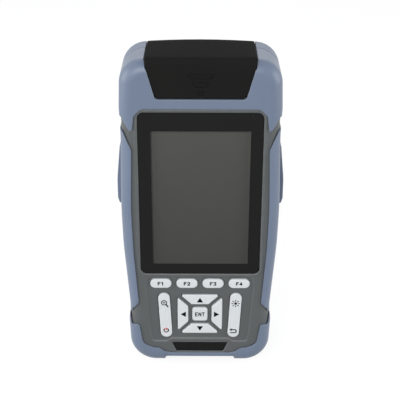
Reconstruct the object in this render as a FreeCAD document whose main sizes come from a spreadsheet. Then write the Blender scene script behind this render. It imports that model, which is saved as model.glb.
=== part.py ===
"""Handheld optical time domain reflectometer, standing on its two bottom corners.

Frame: origin on the floor under the middle of the instrument, +Z up along its length,
+X to the right as the screen is read, and the screen faces -Y.  All sizes are millimetres.
"""
import FreeCAD, Part
import math
import os
import re
import Sketcher

V = FreeCAD.Vector
doc = FreeCAD.newDocument("PocketReflectometer")
sheet = doc.addObject("Spreadsheet::Sheet", "Sizes")

# Driving sizes, one alias and one value each.
SIZES = {
    "case_height": 171.6,          "case_width": 80.3,            "case_depth": 38,
    "shoulder_inset": 1.4,         "waist_inset": 0.95,           "palm_inset": 3.4,
    "foot_inset": 3.4,             "heel_inset": 2.4,             "swell_inset": 0.55,
    "flare_inset": 0.4,            "heel_height": 25.3,           "heel_round": 9,
    "crown_flat": 26,              "shoulder_drop": 2.7,          "palm_height": 31.8,
    "swell_low": 70.3,             "swell_high": 92.3,            "waist_height": 131.3,
    "flare_height": 145.3,         "foot_radius": 14,             "shoulder_radius": 12.5,
    "front_round": 6.5,            "rear_round": 6,               "seam_y": 3,
    "seal_thickness": 0.6,         "skin_step": 0.8,              "overmould": 2,
    "case_wall": 1.4,              "rear_wall": 3,                "foot_inner": 18.4,
    "foot_lift": 4.35,             "bar_recess": 0.4,             "boot_height": 24.7,
    "grip_bottom": 33.3,           "grip_top": 134.4,             "hood_bottom": 133.4,
    "lens_width": 61.2,            "lens_height": 88.8,           "lens_bottom": 55.6,
    "lens_corner": 3,              "lens_thickness": 1.5,         "lens_gap": 0.15,
    "rim_width": 1.7,              "rim_lift": 0.4,               "gasket_thickness": 0.2,
    "gasket_width": 2.2,           "lcd_width": 54.8,             "lcd_height": 81.8,
    "lcd_bottom": 57.6,            "lcd_thickness": 2.6,          "fit_gap": 0.3,
    "bracket_plate": 0.8,          "bracket_wall": 0.9,           "sensor_radius": 0.9,
    "sensor_x": 24.8,              "sensor_drop": 2,              "keypad_depth": 0.5,
    "keypad_top": 53.5,            "keypad_margin": 2,            "key_lift": 1,
    "key_flange": 0.7,             "key_travel": 0.6,             "key_round": 0.35,
    "mat_thickness": 1,            "fkey_width": 11,              "fkey_height": 5.2,
    "fkey_pitch": 13.6,            "fkey_z": 49.6,                "rocker_width": 6.1,
    "rocker_length": 27,           "rocker_x": 18.35,             "rocker_z": 30.1,
    "rocker_lean": 3,              "trunnion_radius": 0.8,        "trunnion_reach": 1.4,
    "arrow_span": 23.5,            "arrow_depth": 5.6,            "arrow_long": 20.4,
    "arrow_short": 9,              "arrow_z": 30.9,               "enter_width": 8,
    "enter_corner": 1.5,           "keypad_boss": 1.6,            "board_thickness": 1.2,
    "main_board_thickness": 1.6,   "standoff_height": 2.2,        "standoff_radius": 2.2,
    "standoff_inset": 3,           "small_screw": 1,              "small_head": 1.9,
    "shield_width": 28,            "shield_height": 24,           "shield_depth": 2.4,
    "shield_bottom": 82,           "shield_x": -5,                "buzzer_radius": 6,
    "buzzer_depth": 3,             "buzzer_x": 13,                "nameplate_bottom": 7.5,
    "nameplate_height": 5.5,       "nameplate_width": 29.8,       "nameplate_slant": 2.45,
    "nameplate_thickness": 0.8,    "lid_width": 53.2,             "lid_foot_width": 42.8,
    "lid_bottom": 151.5,           "lid_waist": 168.5,            "lid_roll": 8,
    "lid_gap": 0.4,                "lid_plate": 3.2,              "lid_tongue": 2.6,
    "lid_recess": 0.3,             "knuckle_width": 4.2,          "knuckle_radius": 6.4,
    "pin_radius": 1.25,            "pin_running": 0.06,           "pin_seat": 0.02,
    "barrel_radius": 4.5,          "cheek": 2.2,                  "deck_top": 151,
    "deck_thickness": 1.8,         "deck_web": 2,                 "tray_wall": 1.5,
    "port_y": -5,                  "port_pitch": 15.5,            "ferrule_bore": 1.26,
    "sleeve_wall": 0.35,           "sleeve_length": 8.5,          "otdr_radius": 5,
    "opm_radius": 6,               "vfl_radius": 4.2,             "port_flange": 1.5,
    "port_collar": 1.4,            "port_rim": 1.2,               "module_height": 20,
    "module_gap": 5.2,             "module_depth": 14.2,          "detector_radius": 4.8,
    "laser_length": 20.9,          "boss_x": 31.9,                "boss_low": 26,
    "boss_high": 142,              "boss_radius": 3,              "case_screw_radius": 1.25,
    "case_screw_grip": 12,         "screw_head": 2.4,             "head_height": 2,
    "head_sink": 0.8,              "door_middle": 79,             "door_thickness": 1.8,
    "door_ledge": 3.2,             "door_gap": 0.2,               "door_corner": 4,
    "door_boss": 2.5,              "cell_radius": 9.25,           "cell_length": 65,
    "cell_gap": 0.3,               "tray_shell": 1.2,             "cover_bottom": 85.4,
    "cover_height": 32.4,          "cover_front": 4.2,            "cover_width": 8.6,
    "cover_proud": 3,              "cover_taper": 1.8,            "cover_full": 14,
    "cover_depth": 1.3,            "cover_round": 2,              "io_board_width": 12,
    "io_board_gap": 3.8,           "io_post": 1.8,                "socket_reach": 1.2,
    "socket_wall": 0.4,            "usb_long": 9,                 "usb_thick": 3.3,
    "usb_deep": 8,                 "usb_z": 109,                  "data_long": 7.8,
    "data_thick": 3.9,             "data_deep": 8.6,              "data_z": 94,
    "card_long": 24.6,             "card_thick": 2.6,             "card_deep": 9.5,
}

for row, (name, value) in enumerate(SIZES.items(), start=1):
    sheet.set(f"A{row}", name)
    sheet.set(f"B{row}", str(value))
    sheet.setAlias(f"B{row}", name)
doc.recompute()

# Places that follow from the driving sizes, in the sheet so that every formula can use them.
DERIVED = {
    "face_y": "-case_depth / 2",
    "back_y": "case_depth / 2",
    "grey_y": "face_y + skin_step",
    "core_y": "face_y + overmould",
    "inner_y": "core_y + case_wall",
    "front_edge_y": "seam_y - seal_thickness / 2",
    "rear_edge_y": "seam_y + seal_thickness / 2",
    "rear_inner_y": "back_y - rear_wall",
    "rim_y": "grey_y - rim_lift",
    "rim_half": "lens_width / 2 + rim_width",
    "lens_y": "rim_y + lens_gap",
    "lens_back_y": "lens_y + lens_thickness",
    "lens_top": "lens_bottom + lens_height",
    "ledge_y": "lens_back_y + gasket_thickness",
    "sensor_z": "lens_top - sensor_drop",
    "lcd_top": "lcd_bottom + lcd_height",
    "lcd_back_y": "lens_back_y + lcd_thickness",
    "bracket_back_y": "lcd_back_y + bracket_plate",
    "bracket_half": "lcd_width / 2 + fit_gap + bracket_wall",
    "board_y": "bracket_back_y + standoff_height",
    "board_back_y": "board_y + main_board_thickness",
    "panel_y": "grey_y + keypad_depth",
    "key_y": "panel_y - key_lift",
    "flange_y": "inner_y + fit_gap",
    "flange_back_y": "flange_y + key_flange",
    "mat_y": "flange_back_y + key_travel + fit_gap / 2",
    "keyboard_y": "mat_y + mat_thickness",
    "keyboard_back_y": "keyboard_y + board_thickness",
    "fkey_reach": "1.5 * fkey_pitch + fkey_width / 2",
    "keypad_half": "fkey_reach + keypad_margin",
    "keypad_boss_x": "fkey_reach + keypad_boss - 0.5",
    "trunnion_y": "inner_y + fit_gap / 3 + trunnion_radius",
    "nameplate_top": "nameplate_bottom + nameplate_height",
    "nameplate_back_y": "grey_y + nameplate_thickness + 0.1",
    "keypad_bottom": "nameplate_top + 2.5",
    "hinge_y": "back_y - lid_roll",
    "hinge_z": "case_height - lid_roll",
    "bay_half": "lid_width / 2 + lid_gap",
    "cheek_half": "bay_half + cheek",
    "barrel_half": "lid_width / 2 - knuckle_width - lid_gap",
    "lid_inner_z": "case_height - lid_plate",
    "lid_face_y": "face_y + lid_recess",
    "lid_wrap_y": "back_y - lid_plate + 0.4",
    "deck_bottom": "deck_top - deck_thickness",
    "web_back_y": "hinge_y - barrel_radius * 0.75",
    "sleeve_bottom": "deck_top - 0.5",
    "sleeve_top": "sleeve_bottom + sleeve_length",
    "port_top": "sleeve_top + 1",
    "port_floor": "deck_top + port_flange + 1",
    "port_seat": "ferrule_bore + sleeve_wall + pin_seat",
    "port_foot": "deck_bottom - fit_gap",
    "module_top": "deck_bottom - module_gap",
    "module_bottom": "module_top - module_height",
    "head_seat_y": "back_y - head_height - head_sink",
    "cell_y": "rear_inner_y - cell_radius - fit_gap",
    "cell_x": "cell_radius + cell_gap / 2",
    "cell_bottom": "door_middle - cell_length / 2",
    "pocket_half": "cell_x + cell_radius + fit_gap",
    "tray_half": "pocket_half + tray_shell",
    "tray_front_y": "cell_y - cell_radius - fit_gap - tray_shell",
    "opening_half": "tray_half + 2 * fit_gap",
    "opening_low": "cell_bottom - fit_gap",
    "opening_high": "cell_bottom + cell_length + fit_gap",
    "door_half": "opening_half + door_ledge",
    "door_screw_inset": "small_head + 1",
    "door_bottom": "opening_low - door_boss * 2 - tray_shell - 1.2",
    "door_top": "opening_high + door_boss * 2 + tray_shell + 1.2",
    "cover_back": "cover_front + cover_width",
    "cover_top": "cover_bottom + cover_height",
    "cover_inner_x": "case_width / 2 - cover_depth",
    "cover_outer_x": "case_width / 2 + cover_proud",
    "recess_x": "cover_inner_x - fit_gap",
    "io_y": "(cover_front + cover_back) / 2 - usb_thick / 2",
    "io_outer_x": "case_width / 2 - io_board_gap",
    "io_inner_x": "io_outer_x - io_board_width",
    "mouth_x": "case_width / 2 - rear_wall + socket_reach",
}


def full(formula):
    """Turn the short size names in a formula into the sheet's own references."""
    return re.sub(r"[a-z][a-z_0-9]*(?![a-z_0-9(])", lambda word: "Sizes." + word.group(), formula)


def number(formula):
    return float(sheet.evalExpression(full(formula)))


for row, (name, formula) in enumerate(DERIVED.items(), start=1):
    sheet.set(f"C{row}", name)
    sheet.set(f"D{row}", "=" + formula)
    sheet.setAlias(f"D{row}", name)
doc.recompute()


# ---------------------------------------------------------------- drawing and solid helpers

def mirrored(half):
    """Close a right-hand half outline with its mirror image."""
    return half + [(f"-({across})", up, radius) for across, up, radius in reversed(half)]


def rectangle(left, right, bottom, top, radius="0"):
    return [(left, bottom, radius), (right, bottom, radius), (right, top, radius), (left, top, radius)]


def turned(corners, centre_x, centre_z, angle):
    """Place an outline drawn about its own centre, turned counterclockwise by an angle in degrees."""
    return [(f"{centre_x} + ({u}) * cos({angle}) - ({w}) * sin({angle})",
             f"{centre_z} + ({u}) * sin({angle}) + ({w}) * cos({angle})", radius)
            for u, w, radius in corners]


def draw(sketch, corners):
    """Draw a closed counterclockwise outline of (across, up, radius) corners, each value a formula."""
    count = len(corners)
    points = [V(number(across), number(up), 0) for across, up, radius in corners]
    radii = [number(radius) for across, up, radius in corners]
    starts, ends, centres, turns = [], [], [], []
    for index, point in enumerate(points):
        back = (points[index - 1] - point).normalize()
        ahead = (points[(index + 1) % count] - point).normalize()
        half_angle = back.getAngle(ahead) / 2
        run = radii[index] / math.tan(half_angle)
        ends.append(point + back * run)
        starts.append(point + ahead * run)
        middle = (back + ahead).normalize() if radii[index] else ahead
        centres.append(point + middle * (radii[index] / math.sin(half_angle)))
        turns.append(back.cross(ahead).z < 0)
    sketch.addGeometry([Part.LineSegment(starts[index], ends[(index + 1) % count])
                        for index in range(count)], False)
    rules, names = [], []

    def rule(*values, name="", formula=""):
        rules.append(Sketcher.Constraint(*values))
        names.append((name, formula))

    for index, (across, up, radius) in enumerate(corners):
        before = (index - 1) % count
        point = points[index]
        if radii[index] == 0:
            rule("Coincident", before, 2, index, 1)
            anchor = index
        else:
            first, last = (ends, starts) if turns[index] else (starts, ends)
            centre = centres[index]
            arms = [first[index] - centre, last[index] - centre]
            angles = [math.atan2(arm.y, arm.x) for arm in arms]
            circle = Part.Circle(centre, V(0, 0, 1), radii[index])
            arc = sketch.addGeometry(Part.ArcOfCircle(circle, angles[0], angles[1]), False)
            anchor = sketch.addGeometry(Part.Point(point), True)
            entry, leave = (1, 2) if turns[index] else (2, 1)
            rule("Tangent", before, 2, arc, entry)
            rule("Tangent", arc, leave, index, 1)
            rule("PointOnObject", anchor, 1, before)
            rule("PointOnObject", anchor, 1, index)
            rule("Radius", arc, radii[index], name=f"round{index}", formula=radius)
        rule("DistanceX", -1, 1, anchor, 1, point.x, name=f"across{index}", formula=across)
        rule("DistanceY", -1, 1, anchor, 1, point.y, name=f"up{index}", formula=up)
    places = sketch.addConstraint(rules)
    for place, (name, formula) in zip(places, names):
        if name:
            sketch.renameConstraint(place, name)
            sketch.setExpression(f"Constraints.{name}", full(formula))


PLANES = {"front": "XZ_Plane", "side": "YZ_Plane", "top": "XY_Plane"}


def sketch_on(body, plane, offset, corners):
    """Draw an outline on one of the body's own planes, moved along that plane's normal."""
    sketch = body.newObject("Sketcher::SketchObject", "outline")
    support = [f for f in body.Origin.OriginFeatures if f.Role == PLANES[plane]][0]
    sketch.AttachmentSupport = (support, [""])
    sketch.MapMode = "FlatFace"
    sketch.setExpression("AttachmentOffset.Base.z", full(offset))
    draw(sketch, corners)
    return sketch


def pad(body, plane, corners, low, high):
    """Pad an outline between two places: along Y from low to high for the front plane."""
    offset = f"-({high})" if plane == "front" else low
    feature = body.newObject("PartDesign::Pad", "pad")
    feature.Profile = sketch_on(body, plane, offset, corners)
    feature.setExpression("Length", full(f"({high}) - ({low})"))
    return feature


def slab(name, corners, low, high, plane="front"):
    body = doc.addObject("PartDesign::Body", name)
    body.Label = name
    pad(body, plane, corners, low, high)
    return body


def round_face(body, place, radius):
    """Round all edges of the body's flat face that looks along Y at the given place."""
    doc.recompute()
    level = number(place)
    shape = body.Shape
    picked = []
    for index, edge in enumerate(shape.Edges, start=1):
        box = edge.BoundBox
        if abs(box.YMin - level) < 1e-5 and abs(box.YMax - level) < 1e-5:
            picked.append(f"Edge{index}")
    padded = body.Tip
    fillet = body.newObject("PartDesign::Fillet", "edge_round")
    fillet.Base = (padded, picked)
    fillet.setExpression("Radius", full(radius))
    return body


def block(name, left, right, front, back, bottom, top):
    box = doc.addObject("Part::Box", name)
    box.Label = name
    for prop, low, high, axis in (("Length", left, right, "x"), ("Width", front, back, "y"),
                                  ("Height", bottom, top, "z")):
        box.setExpression(prop, full(f"({high}) - ({low})"))
        box.setExpression(f"Placement.Base.{axis}", full(low))
    return box


AXIS_TURNS = {"x": (V(0, 1, 0), 90), "y": (V(1, 0, 0), -90), "z": (V(0, 0, 1), 0)}


def rod(name, radius, axis, low, high, first, second):
    """A cylinder along an axis from low to high; first and second are its two other coordinates."""
    cylinder = doc.addObject("Part::Cylinder", name)
    cylinder.Label = name
    cylinder.Placement = FreeCAD.Placement(V(0, 0, 0), FreeCAD.Rotation(*AXIS_TURNS[axis]))
    cylinder.setExpression("Radius", full(radius))
    cylinder.setExpression("Height", full(f"({high}) - ({low})"))
    others = [letter for letter in "xyz" if letter != axis]
    for letter, place in zip([axis] + others, (low, first, second)):
        cylinder.setExpression(f"Placement.Base.{letter}", full(place))
    return cylinder


def revolve(name, profile, place_x, place_y):
    """Turn a profile of (radius, height, round) corners about an upright axis."""
    body = doc.addObject("PartDesign::Body", name)
    body.Label = name
    sketch = sketch_on(body, "front", "0", profile)
    feature = body.newObject("PartDesign::Revolution", "revolution")
    feature.Profile = sketch
    feature.ReferenceAxis = (sketch, ["V_Axis"])
    feature.Angle = 360
    body.setExpression("Placement.Base.x", full(place_x))
    body.setExpression("Placement.Base.y", full(place_y))
    return body


def joined(name, *pieces):
    fuse = doc.addObject("Part::MultiFuse", name)
    fuse.Label = name
    fuse.Shapes = list(pieces)
    return fuse


def pair(kind, name, base, tool):
    feature = doc.addObject(kind, name)
    feature.Label = name
    feature.Base = base
    feature.Tool = tool
    return feature


def cut(name, base, *tools):
    tool = tools[0] if len(tools) == 1 else joined(name + "_tools", *tools)
    return pair("Part::Cut", name, base, tool)


def common(name, base, tool):
    return pair("Part::Common", name, base, tool)


# ---------------------------------------------------------------- the outer form

def envelope(inset):
    """The outline of the whole case seen from the front, drawn in by an inset."""
    side = f"case_width / 2 - {inset}"
    return mirrored([
        (f"{side} - foot_inset", inset, f"foot_radius - {inset}"),
        (f"{side} - heel_inset", "heel_height", f"heel_round - {inset}"),
        (f"{side} - palm_inset", "palm_height", "40"),
        (f"{side} - swell_inset", "swell_low", "200"),
        (side, "swell_high", "300"),
        (f"{side} - waist_inset", "waist_height", "100"),
        (f"{side} - flare_inset", "flare_height", "40"),
        (f"{side} - shoulder_inset", f"case_height - shoulder_drop - {inset}",
         f"shoulder_radius - {inset}"),
        ("crown_flat / 2", f"case_height - {inset}", "150"),
    ])


def front_form(name, inset):
    body = slab(name, envelope(inset), f"face_y + {inset}", "front_edge_y")
    return round_face(body, f"face_y + {inset}", f"front_round - {inset}")


def rear_form(name, inset):
    body = slab(name, envelope(inset), "rear_edge_y", f"back_y - {inset}")
    return round_face(body, f"back_y - {inset}", f"rear_round - {inset}")


shell_skin = front_form("shell_skin", "0")
shell_grey = front_form("shell_grey", "skin_step")
shell_core = front_form("shell_core", "overmould")
shell_hollow = front_form("shell_hollow", "(overmould + case_wall)")

FAR = "case_width"
foot_notch = slab("foot_notch", mirrored([("foot_inner + 0.5", "-1", "0"),
                                          ("foot_inner", "foot_lift", "foot_lift / 4")]),
                  f"-{FAR}", FAR)
bar_front = block("bar_front", "-foot_inner", "foot_inner", f"-{FAR}", "face_y + bar_recess", "-1",
                  "foot_lift + 4")

# ---------------------------------------------------------------- where the blue skin lies

hood_outline = mirrored([
    ("rim_half - 3.7", "lens_top + rim_width + 0.1", "3.5"),
    ("rim_half - 0.1", "lens_top - 1.6", "3"),
    ("rim_half + 1.1", "hood_bottom", "0.9"),
    ("rim_half + 4.3", "hood_bottom + 4.8", "4"),
    ("rim_half + 6", "hood_bottom + 8", "2"),
    (FAR, "hood_bottom + 9", "0"),
    (FAR, "case_height + 10", "0"),
])
hood_zone = slab("hood_zone", hood_outline, f"-{FAR}", "front_edge_y")

grip_outline = [
    (FAR, "grip_bottom - 3.8", "0"),
    (FAR, "grip_top + 1", "0"),
    ("rim_half + 5.9", "grip_top", "2"),
    ("rim_half + 1.5", "grip_top - 9.6", "3"),
    ("rim_half + 2.4", "swell_high", "200"),
    ("rim_half + 1.9", "swell_low", "200"),
    ("rim_half - 0.2", "grip_bottom + 4.7", "1.5"),
    ("rim_half + 3.1", "grip_bottom", "2"),
    ("rim_half + 4.4", "grip_bottom - 3.2", "1.5"),
]
right_grip_zone = slab("right_grip_zone", grip_outline, f"-{FAR}", "front_edge_y")
left_grip_zone = slab("left_grip_zone", [(f"-({x})", z, r) for x, z, r in reversed(grip_outline)],
                      f"-{FAR}", "front_edge_y")

boot_zone = slab("boot_zone", mirrored([
    (FAR, "-5", "0"),
    (FAR, "boot_height + 4", "0"),
    ("rim_half + 4.9", "boot_height + 3.6", "1"),
    ("rim_half + 3.9", "boot_height - 1.3", "0.8"),
    ("rim_half - 0.1", "boot_height", "1.2"),
    ("rim_half - 2", "foot_lift + 7.8", "4.5"),
    ("foot_inner + 6.6", "foot_lift + 5.5", "3"),
    ("foot_inner + 3", "foot_lift + 5", "2"),
    ("foot_inner + 0.6", "foot_lift + 2.9", "1"),
    ("foot_inner - 3", "foot_lift + 2.1", "1"),
]), f"-{FAR}", "front_edge_y")

# ---------------------------------------------------------------- space for the lid and the port bay

lid_outline = mirrored([
    ("lid_foot_width / 2", "lid_bottom", "1.5"),
    ("lid_width / 2 - 0.4", "lid_waist", "8"),
    ("lid_width / 2", "case_height + 10", "0"),
])
lid_space_outline = mirrored([
    ("lid_foot_width / 2 + lid_gap", "lid_bottom - lid_gap", "1.5 + lid_gap"),
    ("bay_half - 0.4", "lid_waist", "8"),
    ("bay_half", "case_height + 10", "0"),
])
tongue_space = slab("tongue_space", lid_space_outline, f"-{FAR}", "inner_y + 0.05")
bay_space = slab("bay_space", [
    ("inner_y", "deck_bottom", "0"),
    ("rear_inner_y", "deck_bottom", "0"),
    ("rear_inner_y", "hinge_z", "0"),
    ("back_y + 6", "hinge_z", "0"),
    ("back_y + 6", "case_height + 10", "0"),
    ("inner_y", "case_height + 10", "0"),
], "-bay_half", "bay_half", "side")
roll_space = rod("roll_space", "lid_roll + lid_gap", "x", "-bay_half", "bay_half", "hinge_y", "hinge_z")
lid_space = joined("lid_space", tongue_space, bay_space, roll_space)

# ---------------------------------------------------------------- key outlines

PILL = rectangle("-fkey_width / 2", "fkey_width / 2", "-fkey_height / 2", "fkey_height / 2",
                 "fkey_height / 2 - 0.05")
ROCKER = rectangle("-rocker_width / 2", "rocker_width / 2", "-rocker_length / 2", "rocker_length / 2",
                   "rocker_width / 2 - 0.05")
ARROW = [("-arrow_short / 2", "arrow_span / 2 - arrow_depth", "0.8"),
         ("arrow_short / 2", "arrow_span / 2 - arrow_depth", "0.8"),
         ("arrow_long / 2", "arrow_span / 2", "0.6"),
         ("-arrow_long / 2", "arrow_span / 2", "0.6")]
ENTER = rectangle("-enter_width / 2", "enter_width / 2", "-enter_width / 2", "enter_width / 2",
                  "enter_corner")


def grown(corners, amount, sideways="0"):
    """Move an outline's corners outwards from its own centre by an amount, and round them more."""
    middle = sum(number(up) for across, up, radius in corners) / len(corners)
    wider = []
    for across, up, radius in corners:
        side = "+" if number(across) > 0 else "-"
        lift = "+" if number(up) > middle else "-"
        wider.append((f"{across} {side} ({amount} + {sideways})", f"{up} {lift} {amount}",
                      f"{radius} + {amount}"))
    return wider


KEYS = {}
for place in range(4):
    KEYS[f"key_f{place + 1}"] = (PILL, f"({place} - 1.5) * fkey_pitch", "fkey_z", "0")
for place, side in enumerate(("up", "left", "down", "right")):
    KEYS[f"key_{side}"] = (ARROW, "0", "arrow_z", f"{90 * place}")
KEYS["key_enter"] = (ENTER, "0", "arrow_z", "0")
ROCKERS = {"left_rocker": ("-rocker_x", "rocker_lean"), "right_rocker": ("rocker_x", "-rocker_lean")}

key_holes = []
for name, (outline, x, z, angle) in KEYS.items():
    slack = "0.45" if outline is ARROW else "0"
    hole = turned(grown(outline, "fit_gap", slack), x, z, angle)
    key_holes.append(slab(name + "_hole", hole, f"-{FAR}", "inner_y + 0.05"))
for name, (x, lean) in ROCKERS.items():
    hole = turned(grown(ROCKER, "fit_gap"), x, "rocker_z", lean)
    key_holes.append(slab(name + "_hole", hole, f"-{FAR}", "inner_y + 0.05"))

# ---------------------------------------------------------------- front case and its blue skin

rim = slab("rim", rectangle("-rim_half", "rim_half", "lens_bottom - rim_width",
                            "lens_top + rim_width",
                            "lens_corner + rim_width"), "rim_y", "inner_y")
round_face(rim, "rim_y", "rim_lift * 0.9")
lens_seat = slab("lens_seat", rectangle("-lens_width / 2 - lens_gap", "lens_width / 2 + lens_gap",
                                        "lens_bottom - lens_gap", "lens_top + lens_gap",
                                        "lens_corner + lens_gap"), f"-{FAR}", "ledge_y")
lcd_window = slab("lcd_window", rectangle("-lcd_width / 2 - fit_gap", "lcd_width / 2 + fit_gap",
                                          "lcd_bottom - fit_gap", "lcd_top + fit_gap", "0.5"),
                  f"-{FAR}", "inner_y + 0.05")
sensor_hole = rod("sensor_hole", "sensor_radius + fit_gap / 3", "y", "ledge_y - 1", "inner_y + 1",
                  "sensor_x", "sensor_z")
keypad_recess = slab("keypad_recess", mirrored([
    ("nameplate_width / 2 + 0.4", "keypad_bottom", "0.8"),
    ("nameplate_width / 2 + 2.7", "keypad_bottom - 1.8", "0.8"),
    ("keypad_half - 2.9", "keypad_bottom - 1.8", "1.6"),
    ("keypad_half - 1.9", "keypad_bottom + 3.5", "8"),
    ("keypad_half", "fkey_z - 4.6", "20"),
    ("keypad_half - 0.3", "keypad_top", "2"),
]), f"-{FAR}", "panel_y")


def nameplate_outline(gap):
    return mirrored([(f"nameplate_width / 2 - nameplate_slant + {gap}", f"nameplate_bottom - {gap}", "0.4"),
                     (f"nameplate_width / 2 + {gap}", f"nameplate_top + {gap}", "0.4")])


nameplate_seat = slab("nameplate_seat", nameplate_outline("lens_gap"), f"-{FAR}", "nameplate_back_y")

bosses, boss_bores = [], []
for side in ("", "-"):
    for level in ("boss_low", "boss_high"):
        x = f"{side}boss_x"
        bosses.append(rod("front_boss", "boss_radius", "y", "inner_y - 0.2", "front_edge_y", x, level))
        boss_bores.append(rod("front_bore", "case_screw_radius + pin_seat", "y",
                              "front_edge_y - case_screw_grip - 2", "front_edge_y + 1", x, level))
    for level in ("nameplate_top + 5", "fkey_z - 9.6"):
        bosses.append(rod("keypad_post", "keypad_boss", "y", "inner_y - 0.2", "keyboard_y",
                          f"{side}keypad_boss_x", level))



def base_wall(name, front, back, bottom):
    """The wall that closes the case over the gap between the feet."""
    return block(name, "-foot_inner - case_wall", "foot_inner + case_wall", front, back, bottom,
                 "foot_lift + case_wall")


front_base = base_wall("front_base", "inner_y", "front_edge_y", "overmould + case_wall")
grey_zones = joined("skin_zones", hood_zone, left_grip_zone, right_grip_zone, boot_zone)
grey_skin = cut("grey_skin", shell_grey, grey_zones)
front_solid = joined("front_solid", grey_skin, shell_core, rim)
front_open = cut("front_open", front_solid, shell_hollow)
front_built = joined("front_built", front_open, front_base, *bosses)
front_case = cut("front_case", front_built, lid_space, foot_notch, lens_seat, lcd_window, sensor_hole,
                 keypad_recess, nameplate_seat, *key_holes, *boss_bores)

skin = cut("skin", shell_skin, shell_core, foot_notch, lid_space, rim)
front_hood = common("front_hood", skin, hood_zone)
left_grip = common("left_grip", skin, left_grip_zone)
right_grip = common("right_grip", skin, right_grip_zone)
bottom_boot = cut("bottom_boot", common("boot_skin", skin, boot_zone), bar_front)
nameplate = slab("nameplate", nameplate_outline("0"), "nameplate_back_y - nameplate_thickness",
                 "nameplate_back_y")

# ---------------------------------------------------------------- display stack

display_lens = slab("display_lens", rectangle("-lens_width / 2", "lens_width / 2", "lens_bottom",
                                              "lens_top", "lens_corner"), "lens_y", "lens_back_y")
gasket_ring = slab("gasket_ring", rectangle("-lens_width / 2", "lens_width / 2", "lens_bottom",
                                            "lens_top", "lens_corner"), "lens_back_y", "ledge_y")
gasket_window = slab("gasket_window", rectangle(
    "-lens_width / 2 + gasket_width", "lens_width / 2 - gasket_width", "lens_bottom + gasket_width * 0.7",
    "lens_top - gasket_width", "1"), "lens_back_y - 1", "ledge_y + 1")
sensor_gap = rod("sensor_gap", "sensor_radius + fit_gap / 3", "y", "lens_back_y - 1", "ledge_y + 1",
                 "sensor_x", "sensor_z")
lens_gasket = cut("lens_gasket", gasket_ring, gasket_window, sensor_gap)
light_sensor = rod("light_sensor", "sensor_radius", "y", "lens_back_y", "inner_y + 0.4",
                   "sensor_x", "sensor_z")
lcd_panel = slab("lcd_panel", rectangle("-lcd_width / 2", "lcd_width / 2", "lcd_bottom", "lcd_top", "0.3"),
                 "lens_back_y", "lcd_back_y")

bracket_body = block("bracket_body", "-bracket_half", "bracket_half", "inner_y", "bracket_back_y",
                     "lcd_bottom - fit_gap - bracket_wall", "lcd_top + fit_gap + bracket_wall")
bracket_pocket = block("bracket_pocket", "-lcd_width / 2 - fit_gap", "lcd_width / 2 + fit_gap",
                       "inner_y - 1", "lcd_back_y", "lcd_bottom - fit_gap", "lcd_top + fit_gap")
STANDOFFS = [(f"{side}(lcd_width / 2 - standoff_inset)", level) for side in ("", "-")
             for level in ("lcd_bottom + standoff_inset + 1", "lcd_top - standoff_inset - 1")]
standoffs = [rod("standoff", "standoff_radius", "y", "bracket_back_y", "board_y", x, z)
             for x, z in STANDOFFS]
standoff_bores = [rod("standoff_bore", "small_screw + pin_seat", "y", "bracket_back_y + 0.2",
                      "board_y + 1", x, z) for x, z in STANDOFFS]
lcd_bracket = cut("lcd_bracket", joined("bracket_solid", bracket_body, *standoffs), bracket_pocket,
                  *standoff_bores)

# ---------------------------------------------------------------- boards and what they carry

main_plate = block("main_plate", "-lcd_width / 2 - 0.6", "lcd_width / 2 + 0.6", "board_y", "board_back_y",
                   "lcd_bottom", "module_top")
board_bores = [rod("board_bore", "small_screw + pin_running", "y", "board_y - 1",
                   "board_back_y + 1", x, z) for x, z in STANDOFFS]
main_board = cut("main_board", main_plate, *board_bores)
board_screws = []
for x, z in STANDOFFS:
    shank = rod("board_shank", "small_screw", "y", "bracket_back_y + 0.4", "board_back_y", x, z)
    head = rod("board_head", "small_head", "y", "board_back_y",
               "board_back_y + small_screw * 1.2", x, z)
    board_screws.append(joined("board_screw", shank, head))
board_screws = joined("board_screws", *board_screws)
shield_can = block("shield_can", "shield_x - shield_width / 2", "shield_x + shield_width / 2",
                   "board_back_y", "board_back_y + shield_depth", "shield_bottom",
                   "shield_bottom + shield_height")
buzzer = rod("buzzer", "buzzer_radius", "y", "board_back_y", "board_back_y + buzzer_depth", "buzzer_x",
             "lcd_bottom + 10")
keypad_board = slab("keypad_board", rectangle("-keypad_boss_x - 1.6", "keypad_boss_x + 1.6",
                                              "keypad_bottom", "keypad_top", "1"),
                    "keyboard_y", "keyboard_back_y")
keypad_mat = slab("keypad_mat", rectangle("-keypad_boss_x + keypad_boss + 0.2",
                                          "keypad_boss_x - keypad_boss - 0.2",
                                          "keypad_bottom", "keypad_top", "1"), "mat_y", "keyboard_y")

# ---------------------------------------------------------------- keys and rockers

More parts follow.
